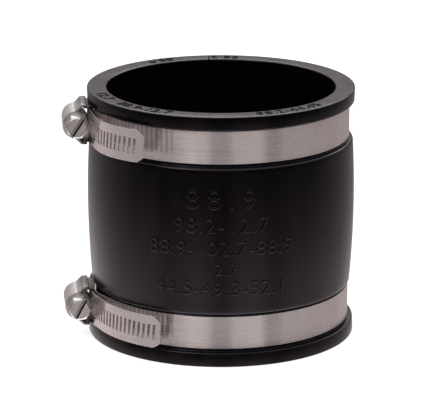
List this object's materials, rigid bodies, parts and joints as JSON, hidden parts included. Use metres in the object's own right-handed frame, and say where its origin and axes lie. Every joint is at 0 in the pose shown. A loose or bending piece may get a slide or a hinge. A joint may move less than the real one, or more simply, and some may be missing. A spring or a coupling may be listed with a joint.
{
  "type": "flexible coupling",
  "caption": "Straight flexible pipe coupling: a black elastomer sleeve with a stainless worm-drive clamp in a groove near each end.",
  "frame": {"origin": "on the bore's axis, halfway along the sleeve", "axes": "+Z along the bore towards the upper end; the picture looks along +Y, so -X holds the clamps' screws"},
  "size_m": [0.1142, 0.1042, 0.0982],
  "materials": {
    "sleeve": "satin moulded black",
    "band": "brushed stainless strip",
    "pressing": "tumbled stainless pressing",
    "screw": "machined stainless"
  },
  "bodies": {
    "sleeve": {"sleeve": "sleeve"},
    "upper_clamp": {"upper_band": "band"},
    "upper_feed": {"upper_saddle": "pressing", "upper_housing": "pressing"},
    "upper_worm": {"upper_screw": "screw"},
    "lower_clamp": {"lower_band": "band"},
    "lower_feed": {"lower_saddle": "pressing", "lower_housing": "pressing"},
    "lower_worm": {"lower_screw": "screw"}
  },
  "joints": [
    {"name": "upper_clamp_turn", "type": "hinge", "parent": "sleeve", "child": "upper_clamp", "pos_m": [0, 0, 0.03665], "axis": [0, 0, 1], "continuous": true},
    {"name": "upper_housing_feed", "type": "hinge", "parent": "upper_clamp", "child": "upper_feed", "pos_m": [0.02819, -0.00104, 0.03665], "axis": [0, 0, 1], "range_deg": [-3.7, 1.64]},
    {"name": "upper_screw_turn", "type": "hinge", "parent": "upper_feed", "child": "upper_worm", "pos_m": [-0.05615, -0.00693, 0.03665], "axis": [-0.0698, 0.9976, 0], "range_deg": [-360, 810]},
    {"name": "lower_clamp_turn", "type": "hinge", "parent": "sleeve", "child": "lower_clamp", "pos_m": [0, 0, -0.03605], "axis": [0, 0, 1], "continuous": true},
    {"name": "lower_housing_feed", "type": "hinge", "parent": "lower_clamp", "child": "lower_feed", "pos_m": [0.0282, -0.00054, -0.03605], "axis": [0, 0, 1], "range_deg": [-3.7, 1.64]},
    {"name": "lower_screw_turn", "type": "hinge", "parent": "lower_feed", "child": "lower_worm", "pos_m": [-0.05602, -0.00791, -0.03605], "axis": [-0.0872, 0.9962, 0], "range_deg": [-360, 810]}
  ],
  "couplings": [
    {"joint": "upper_screw_turn", "follows": "upper_housing_feed", "ratio": -219},
    {"joint": "lower_screw_turn", "follows": "lower_housing_feed", "ratio": -219}
  ]
}
